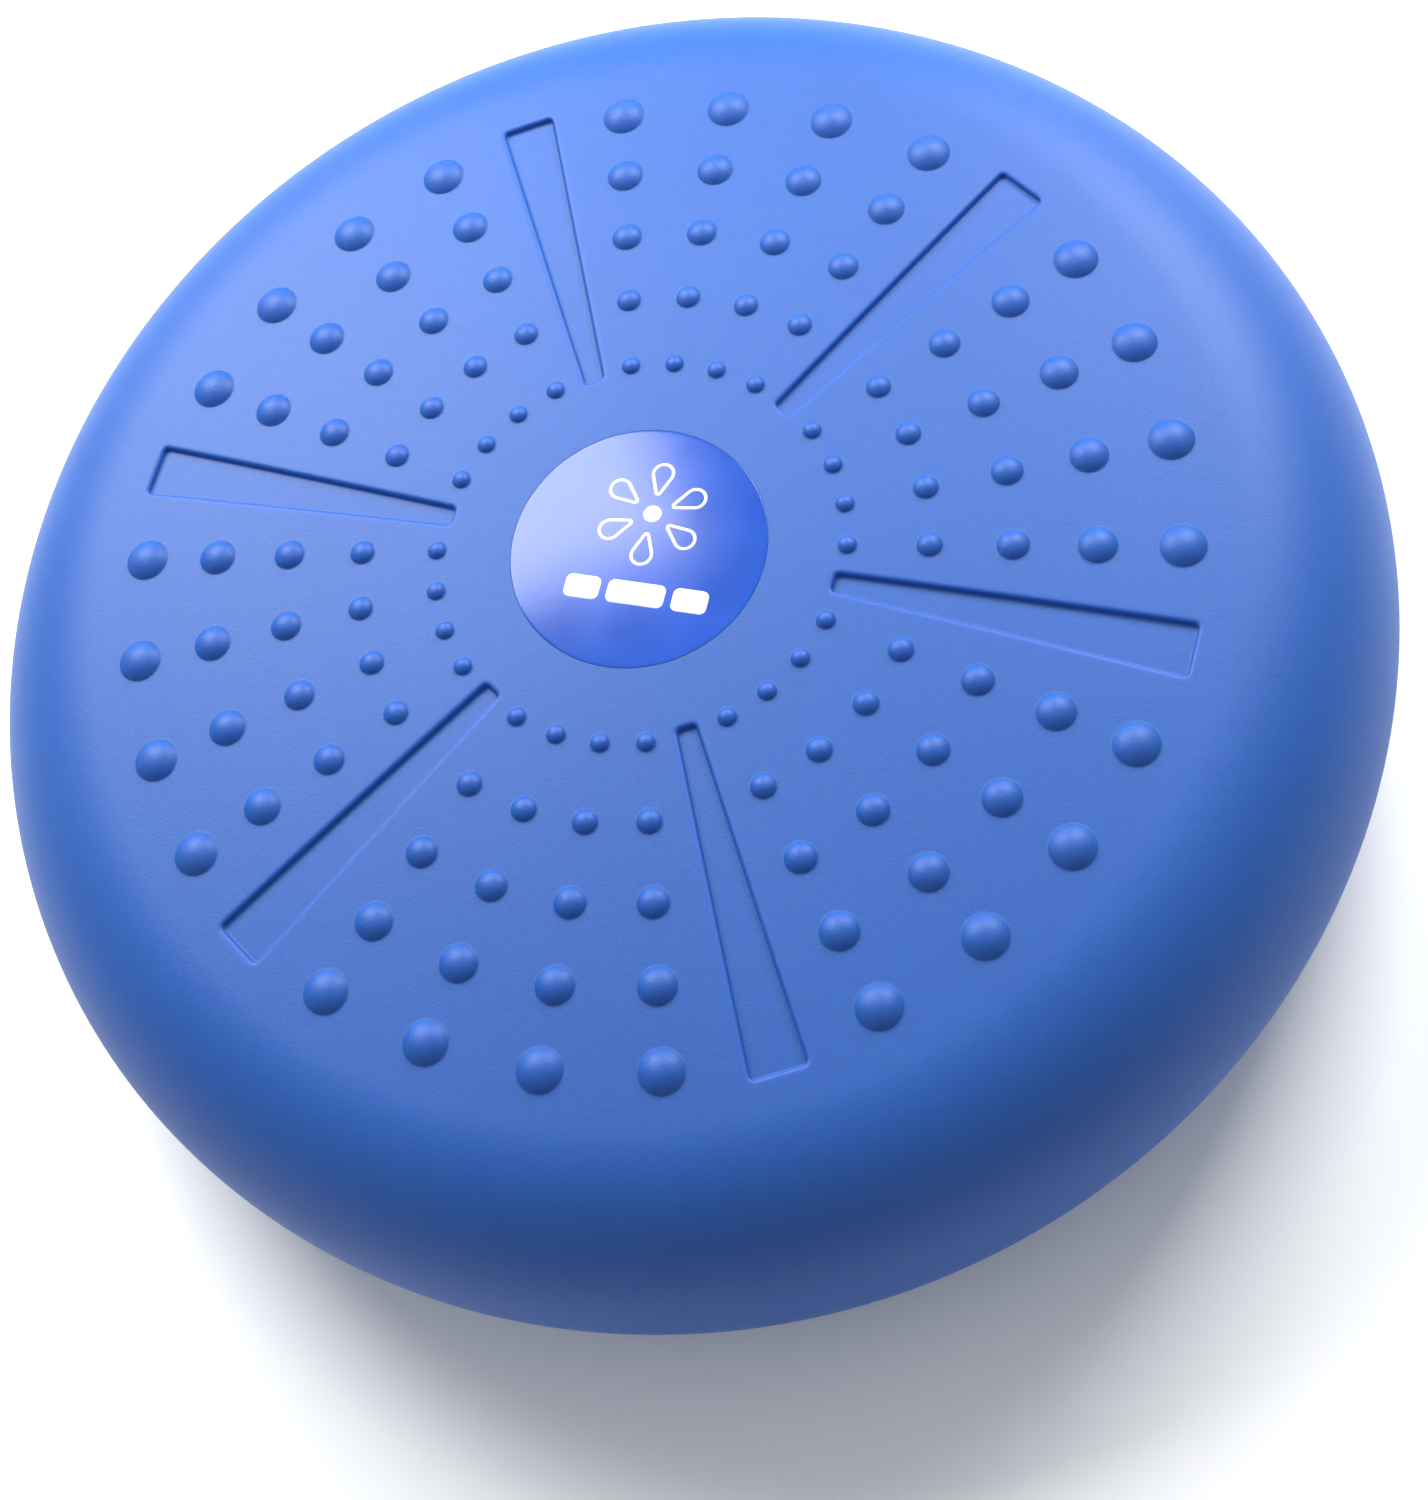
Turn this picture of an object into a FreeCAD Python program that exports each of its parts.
import FreeCAD, Part
import math
import os
import Sketcher

# A round air-filled wobble cushion of soft PVC, lying flat with its massage face up.
# Origin: centre of the flat underside. +Z: up through the massage face. +Y: out through the valve.
# The upper moulding is cut where it flexes, so that the massage face can tilt over the lower moulding.

drivingSizes = {
    "overall_radius": (165, "widest radius, at the equator"),
    "equator_height": (39, "height of the parting line, and radius of the lower side"),
    "shoulder_radius": (37, "radius of the upper side, from the parting line to the face"),
    "face_slope": (3.5, "slope of the domed face where it meets the shoulder, degrees"),
    "flex_angle": (42.5, "end of the flexing side wall on the shoulder, degrees above the equator"),
    "wall": (4, "thickness of the moulded skin"),
    "label_radius": (29.3, "round label"),
    "label_seat_depth": (0.8, "recess that the label is stuck in"),
    "label_gap": (0.15, "gap around the label in its recess"),
    "label_thickness": (0.8, "thickness of the label"),
    "wedge_inner": (45, "inner end of the wedge recesses"),
    "wedge_outer": (123.3, "outer end of the wedge recesses"),
    "wedge_spread": (5.8, "angle between the two long edges of a wedge, degrees"),
    "wedge_depth": (1.4, "depth of the wedge recesses"),
    "sectors": (6, "sectors of nubs, with a wedge between each two"),
    "nub_step": (12.5, "angle between neighbouring nubs in a sector, degrees"),
    "nub_height": (1.5, "height of a nub in the innermost ring"),
    "nub_height_growth": (0.22, "how much higher a nub is in each next ring"),
    "nub_root": (1, "depth of a nub's root in the skin"),
    "inner_ring": (46.8, "radius of the innermost ring of nubs"),
    "ring_pitch": (17.92, "distance between rings of nubs"),
    "inner_nub": (2.15, "radius of a nub in the innermost ring"),
    "nub_growth": (0.73, "how much larger a nub's radius is in each next ring"),
    "grip_inner": (30, "inner radius of the smallest grip groove in the underside"),
    "grip_pitch": (18, "distance between grip grooves"),
    "grip_width": (4, "width of a grip groove"),
    "grip_depth": (1.2, "depth of a grip groove"),
    "valve_height": (29, "height of the valve's axis"),
    "valve_land": (160, "distance of the valve's flat land from the centre"),
    "land_radius": (8, "radius of the round dimple around the valve"),
    "boss_radius": (9, "boss behind the valve"),
    "boss_depth": (14, "length of the boss inwards from the land"),
    "seat_radius": (6, "outside of the sleeve bonded in the boss"),
    "seat_flange_radius": (8, "flange on the inner end of the sleeve"),
    "seat_flange": (1.5, "thickness of that flange"),
    "plug_radius": (4.2, "stem of the rubber valve plug"),
    "plug_flange_radius": (6.8, "outer flange of the plug"),
    "plug_flange": (1.8, "thickness of the plug's outer flange"),
    "barb_radius": (5.2, "barb that holds the plug from inside"),
    "barb_length": (2.5, "length of the barb"),
    "needle_radius": (1, "channel for an inflating needle"),
    "needle_depth": (11.8, "depth of the channel from the plug's outer face"),
    "core_radius": (2.4, "self-sealing core behind the channel"),
}
ringCount = 5
nubsPerSector = 4
gripGrooves = 5

document = FreeCAD.newDocument("WobbleCushion")
sheet = document.addObject("Spreadsheet::Sheet", "Sizes")
for row, (name, (number, meaning)) in enumerate(drivingSizes.items(), start=1):
    sheet.set(f"A{row}", name)
    sheet.set(f"B{row}", str(number))
    sheet.set(f"C{row}", meaning)
    sheet.setAlias(f"B{row}", name)
document.recompute()


class Size:
    """A number together with the sheet formula that gives it."""

    def __init__(self, number, formula):
        self.number = number
        self.formula = formula

    def combined(self, other, sign, number):
        if isinstance(other, Size):
            return Size(number(self.number, other.number), f"({self.formula} {sign} {other.formula})")
        return Size(number(self.number, other), f"({self.formula} {sign} {other})")

    def __add__(self, other):
        return self.combined(other, "+", lambda a, b: a + b)

    def __sub__(self, other):
        return self.combined(other, "-", lambda a, b: a - b)

    def __mul__(self, other):
        return self.combined(other, "*", lambda a, b: a * b)

    def __truediv__(self, other):
        return self.combined(other, "/", lambda a, b: a / b)


def size(name):
    return Size(float(sheet.get(name)), f"Sizes.{name}")


def fixed(number):
    return Size(number, str(number))


def sine(angle):
    return Size(math.sin(math.radians(angle.number)), f"sin({angle.formula})")


def cosine(angle):
    return Size(math.cos(math.radians(angle.number)), f"cos({angle.formula})")


def point_on_arc(centre, radius, angle):
    return centre[0] + radius * cosine(angle), centre[1] + radius * sine(angle)


def new_body(name):
    body = document.addObject("PartDesign::Body", name)
    body.Label = name
    document.recompute()
    return body


def origin_plane(body, role):
    return next(plane for plane in body.Origin.OriginFeatures if plane.Role == role)


def new_sketch(body, name, role, turn=fixed(0), shift=None):
    """A sketch on an origin plane, turned about its own upright axis, then shifted by bound amounts."""
    sketch = body.newObject("Sketcher::SketchObject", name)
    sketch.AttachmentSupport = [(origin_plane(body, role), "")]
    sketch.MapMode = "FlatFace"
    rotation = FreeCAD.Rotation(FreeCAD.Vector(0, 1, 0), turn.number)
    sketch.AttachmentOffset = FreeCAD.Placement(FreeCAD.Vector(), rotation)
    for direction, amount in (shift or {}).items():
        sketch.setExpression(f"AttachmentOffset.Base.{direction}", amount.formula)
    return sketch


def bind(sketch, kind, arguments, amount):
    index = sketch.addConstraint(Sketcher.Constraint(kind, *arguments, amount.number))
    sketch.setExpression(f"Constraints[{index}]", amount.formula)


def draw_outline(sketch, corners, bends=None):
    """A closed outline through the corners. bends[i] = (centre, radius) makes the edge after corner i
    an arc; every corner and radius is bound to the sheet."""
    bends = bends or {}
    first = len(sketch.Geometry)
    spots = [FreeCAD.Vector(x.number, y.number, 0) for x, y in corners]
    starts = []
    for i, spot in enumerate(spots):
        following = spots[(i + 1) % len(spots)]
        if i not in bends:
            sketch.addGeometry(Part.LineSegment(spot, following), False)
            starts.append((1, 2))
            continue
        centre = FreeCAD.Vector(bends[i][0][0].number, bends[i][0][1].number, 0)
        circle = Part.Circle(centre, FreeCAD.Vector(0, 0, 1), bends[i][1].number)
        here = math.atan2(spot.y - centre.y, spot.x - centre.x)
        there = math.atan2(following.y - centre.y, following.x - centre.x)
        counterclockwise = (there - here) % (2 * math.pi) < math.pi
        span = (here, there) if counterclockwise else (there, here)
        sketch.addGeometry(Part.ArcOfCircle(circle, *span), False)
        starts.append((1, 2) if counterclockwise else (2, 1))
    for i, (x, y) in enumerate(corners):
        edge = first + i
        before = first + (i - 1) % len(corners)
        sketch.addConstraint(Sketcher.Constraint("Coincident", before, starts[i - 1][1], edge, starts[i][0]))
        if x.number == 0:
            sketch.addConstraint(Sketcher.Constraint("PointOnObject", edge, starts[i][0], -2))
        else:
            bind(sketch, "DistanceX", (-1, 1, edge, starts[i][0]), x)
        if y.number == 0:
            sketch.addConstraint(Sketcher.Constraint("PointOnObject", edge, starts[i][0], -1))
        else:
            bind(sketch, "DistanceY", (-1, 1, edge, starts[i][0]), y)
        if i in bends:
            bind(sketch, "Radius", (edge,), bends[i][1])


def draw_circle(sketch, height, radius):
    centre = FreeCAD.Vector(0, height.number, 0)
    edge = sketch.addGeometry(Part.Circle(centre, FreeCAD.Vector(0, 0, 1), radius.number), False)
    sketch.addConstraint(Sketcher.Constraint("PointOnObject", edge, 3, -2))
    bind(sketch, "DistanceY", (-1, 1, edge, 3), height)
    bind(sketch, "Radius", (edge,), radius)


def volume_of(body):
    document.recompute()
    return body.Shape.Volume


def add_turned(body, sketch, kind="Revolution", angle=None):
    """Turns a sketch about its own upright axis: a full turn, or a slice centred on the sketch."""
    before = volume_of(body) if body.Tip and kind == "Groove" else 0
    feature = body.newObject(f"PartDesign::{kind}", sketch.Name + "_turned")
    feature.Profile = sketch
    feature.ReferenceAxis = (sketch, ["V_Axis"])
    feature.Angle = 360
    if angle:
        feature.Midplane = True
        feature.setExpression("Angle", angle.formula)
    sketch.Visibility = False
    body.Tip = feature
    if kind == "Groove" and volume_of(body) > before - 0.1:
        raise RuntimeError(f"{feature.Name} cuts nothing")
    return feature


def add_prism(body, sketch, kind, length, outwards):
    """Pads or pockets a sketch that faces -Y; outwards means along +Y."""
    before = volume_of(body)
    feature = body.newObject(f"PartDesign::{kind}", sketch.Name + "_prism")
    feature.Profile = sketch
    feature.setExpression("Length", length.formula)
    feature.Reversed = outwards if kind == "Pad" else not outwards
    sketch.Visibility = False
    body.Tip = feature
    change = volume_of(body) - before
    if (change < 0.1) if kind == "Pad" else (change > -0.1):
        raise RuntimeError(f"{feature.Name} changes nothing")
    return feature


def add_pattern(body, name, originals):
    pattern = body.newObject("PartDesign::PolarPattern", name)
    pattern.Originals = originals
    pattern.Axis = (next(axis for axis in body.Origin.OriginFeatures if axis.Role == "Z_Axis"), [""])
    pattern.Angle = 360
    pattern.setExpression("Occurrences", "Sizes.sectors")
    body.Tip = pattern
    return pattern


sideRadius = size("overall_radius") - size("shoulder_radius")
shoulderCentre = (sideRadius, size("equator_height"))
innerShoulder = size("shoulder_radius") - size("wall")
faceNormal = fixed(90) - size("face_slope")
crownRadius = (sideRadius + size("shoulder_radius") * sine(size("face_slope"))) / sine(size("face_slope"))
faceEdgeHeight = size("equator_height") + size("shoulder_radius") * cosine(size("face_slope"))
crownCentreHeight = faceEdgeHeight - crownRadius * cosine(size("face_slope"))
crownHeight = crownCentreHeight + crownRadius


def make_bottom_shell():
    """Lower moulding: flat underside with shallow grip grooves, round side up to the parting line,
    and a boss with a dimple for the valve."""
    body = new_body("bottom_shell")
    lowerCentre = (size("overall_radius") - size("equator_height"), size("equator_height"))
    innerLower = size("equator_height") - size("wall")
    corners = [
        (fixed(0), fixed(0)),
        (lowerCentre[0], fixed(0)),
        (size("overall_radius"), size("equator_height")),
        (size("overall_radius") - size("wall"), size("equator_height")),
        (lowerCentre[0], size("wall")),
        (fixed(0), size("wall")),
    ]
    sketch = new_sketch(body, "lower_section", "XZ_Plane")
    draw_outline(sketch, corners, {1: (lowerCentre, size("equator_height")), 3: (lowerCentre, innerLower)})
    add_turned(body, sketch)
    grips = new_sketch(body, "grip_section", "XZ_Plane")
    for groove in range(gripGrooves):
        near = size("grip_inner") + size("grip_pitch") * groove
        far = near + size("grip_width")
        draw_outline(grips, [(near, fixed(0)), (far, fixed(0)), (far, size("grip_depth")), (near, size("grip_depth"))])
    add_turned(body, grips, "Groove")
    bossStart = size("valve_land") - size("boss_depth")
    boss = new_sketch(body, "boss_outline", "XZ_Plane", shift={"z": bossStart * -1})
    draw_circle(boss, size("valve_height"), size("boss_radius"))
    add_prism(body, boss, "Pad", size("boss_depth"), outwards=True)
    land = new_sketch(body, "land_outline", "XZ_Plane", shift={"z": size("valve_land") * -1})
    draw_circle(land, size("valve_height"), size("land_radius"))
    add_prism(body, land, "Pocket", size("boss_radius"), outwards=True)
    bore = new_sketch(body, "seat_bore", "XZ_Plane", shift={"z": size("valve_land") * -1})
    draw_circle(bore, size("valve_height"), size("seat_radius"))
    add_prism(body, bore, "Pocket", size("boss_depth"), outwards=False)
    return body


def make_side_wall():
    """The part of the upper moulding that folds and stretches when the face tilts."""
    body = new_body("side_wall")
    corners = [
        (size("overall_radius"), size("equator_height")),
        point_on_arc(shoulderCentre, size("shoulder_radius"), size("flex_angle")),
        point_on_arc(shoulderCentre, innerShoulder, size("flex_angle")),
        (size("overall_radius") - size("wall"), size("equator_height")),
    ]
    sketch = new_sketch(body, "side_section", "XZ_Plane")
    bends = {0: (shoulderCentre, size("shoulder_radius")), 2: (shoulderCentre, innerShoulder)}
    draw_outline(sketch, corners, bends)
    add_turned(body, sketch)
    return body


def add_nub(body, ring, place):
    """A domed nub on the massage face, with its root in the skin."""
    ringRadius = size("inner_ring") + size("ring_pitch") * ring
    nubRadius = size("inner_nub") + size("nub_growth") * ring
    nubHeight = size("nub_height") + size("nub_height_growth") * ring
    capRadius = (nubRadius * nubRadius + nubHeight * nubHeight) / (nubHeight * 2)
    angle = size("nub_step") * (place - (nubsPerSector - 1) / 2)
    foot = crownHeight - ringRadius * ringRadius / (crownRadius * 2)
    shift = {
        "x": ringRadius * cosine(angle),
        "y": foot,
        "z": ringRadius * sine(angle) * -1,
    }
    sketch = new_sketch(body, f"nub_{ring + 1}_{place + 1}", "XZ_Plane", angle, shift)
    corners = [
        (fixed(0), nubHeight),
        (fixed(0), size("nub_root") * -1),
        (nubRadius, size("nub_root") * -1),
        (nubRadius, fixed(0)),
    ]
    draw_outline(sketch, corners, {3: ((fixed(0), nubHeight - capRadius), capRadius)})
    return add_turned(body, sketch)


def make_top_shell():
    """Upper moulding above the flexing side wall: the domed massage face with nubs in five rings,
    six wedge recesses and the recess for the label."""
    body = new_body("top_shell")
    innerCrown = crownRadius - size("wall")
    crownCentre = (fixed(0), crownCentreHeight)
    corners = [
        (fixed(0), crownHeight),
        point_on_arc(shoulderCentre, size("shoulder_radius"), faceNormal),
        point_on_arc(shoulderCentre, size("shoulder_radius"), size("flex_angle")),
        point_on_arc(shoulderCentre, innerShoulder, size("flex_angle")),
        point_on_arc(shoulderCentre, innerShoulder, faceNormal),
        (fixed(0), crownHeight - size("wall")),
    ]
    bends = {
        0: (crownCentre, crownRadius),
        1: (shoulderCentre, size("shoulder_radius")),
        3: (shoulderCentre, innerShoulder),
        4: (crownCentre, innerCrown),
    }
    sketch = new_sketch(body, "face_section", "XZ_Plane")
    draw_outline(sketch, corners, bends)
    add_turned(body, sketch)
    seatRadius = size("label_radius") + size("label_gap")
    seatFloor = crownHeight - size("label_seat_depth")
    seatTop = crownHeight + size("wall")
    seat = new_sketch(body, "label_seat", "XZ_Plane")
    draw_outline(seat, [(fixed(0), seatFloor), (seatRadius, seatFloor), (seatRadius, seatTop), (fixed(0), seatTop)])
    add_turned(body, seat, "Groove")
    wedgeTurn = fixed(180) / size("sectors")
    wedge = new_sketch(body, "wedge_section", "XZ_Plane", wedgeTurn)
    floorRadius = crownRadius - size("wedge_depth")
    near = size("wedge_inner")
    far = size("wedge_outer")
    wedgeTop = crownHeight + size("wall")
    nearFloor = crownHeight - size("wedge_depth") - near * near / (floorRadius * 2)
    farFloor = crownHeight - size("wedge_depth") - far * far / (floorRadius * 2)
    draw_outline(wedge, [(near, nearFloor), (far, farFloor), (far, wedgeTop), (near, wedgeTop)])
    cut = add_turned(body, wedge, "Groove", size("wedge_spread"))
    add_pattern(body, "wedges", [cut])
    nubs = [add_nub(body, ring, place) for ring in range(ringCount) for place in range(nubsPerSector)]
    add_pattern(body, "nubs", nubs)
    return body


def make_label():
    """Thin glossy disc that fills its recess and stands a little above the domed face at its edge."""
    body = new_body("label")
    seatFloor = crownHeight - size("label_seat_depth")
    top = seatFloor + size("label_thickness")
    corners = [(fixed(0), seatFloor), (size("label_radius"), seatFloor), (size("label_radius"), top), (fixed(0), top)]
    sketch = new_sketch(body, "label_section", "XZ_Plane")
    draw_outline(sketch, corners)
    add_turned(body, sketch)
    return body


def turned_about_valve(name, sectionName, corners):
    """A body turned about the valve's axis; corners are (radius, distance from the centre)."""
    body = new_body(name)
    sketch = new_sketch(body, sectionName, "XY_Plane", shift={"z": size("valve_height")})
    draw_outline(sketch, corners)
    add_turned(body, sketch)
    return body


seatInner = size("valve_land") - size("boss_depth")
plugInner = seatInner - size("seat_flange") - size("barb_length")
plugOuter = size("valve_land") + size("plug_flange")
channelEnd = plugOuter - size("needle_depth")


def make_valve_seat():
    """Sleeve bonded in the boss, with a flange inside the air space."""
    corners = [
        (size("plug_radius"), size("valve_land")),
        (size("plug_radius"), seatInner - size("seat_flange")),
        (size("seat_flange_radius"), seatInner - size("seat_flange")),
        (size("seat_flange_radius"), seatInner),
        (size("seat_radius"), seatInner),
        (size("seat_radius"), size("valve_land")),
    ]
    return turned_about_valve("valve_seat", "seat_section", corners)


def make_valve_plug():
    """Rubber plug with an outer flange, an inner barb and the needle's channel."""
    corners = [
        (size("needle_radius"), plugOuter),
        (size("needle_radius"), channelEnd),
        (size("core_radius"), channelEnd),
        (size("core_radius"), plugInner),
        (size("barb_radius"), plugInner),
        (size("barb_radius"), seatInner - size("seat_flange")),
        (size("plug_radius"), seatInner - size("seat_flange")),
        (size("plug_radius"), size("valve_land")),
        (size("plug_flange_radius"), size("valve_land")),
        (size("plug_flange_radius"), plugOuter),
    ]
    return turned_about_valve("valve_plug", "plug_section", corners)


def make_valve_core():
    """Self-sealing core that closes behind the needle."""
    corners = [
        (fixed(0), channelEnd),
        (fixed(0), plugInner),
        (size("core_radius"), plugInner),
        (size("core_radius"), channelEnd),
    ]
    return turned_about_valve("valve_core", "core_section", corners)


pieces = [
    make_bottom_shell(),
    make_side_wall(),
    make_top_shell(),
    make_label(),
    make_valve_seat(),
    make_valve_plug(),
    make_valve_core(),
]
document.recompute()

for item in document.Objects:
    if "Invalid" in item.State or "Error" in item.State:
        raise RuntimeError(f"{item.Name} is {item.State}")
for piece in pieces:
    if piece.Shape.isNull() or not piece.Shape.isValid() or len(piece.Shape.Solids) != 1:
        raise RuntimeError(f"{piece.Label} has no valid single solid")
    box = piece.Shape.optimalBoundingBox(False)
    print(f"{piece.Label}: {piece.Shape.Volume / 1000:.1f} cm3, z {box.ZMin:.2f} to {box.ZMax:.2f}, x to {box.XMax:.2f}")

os.makedirs("parts", exist_ok=True)
for piece in pieces:
    piece.Shape.exportStep(f"parts/{piece.Label}.step")
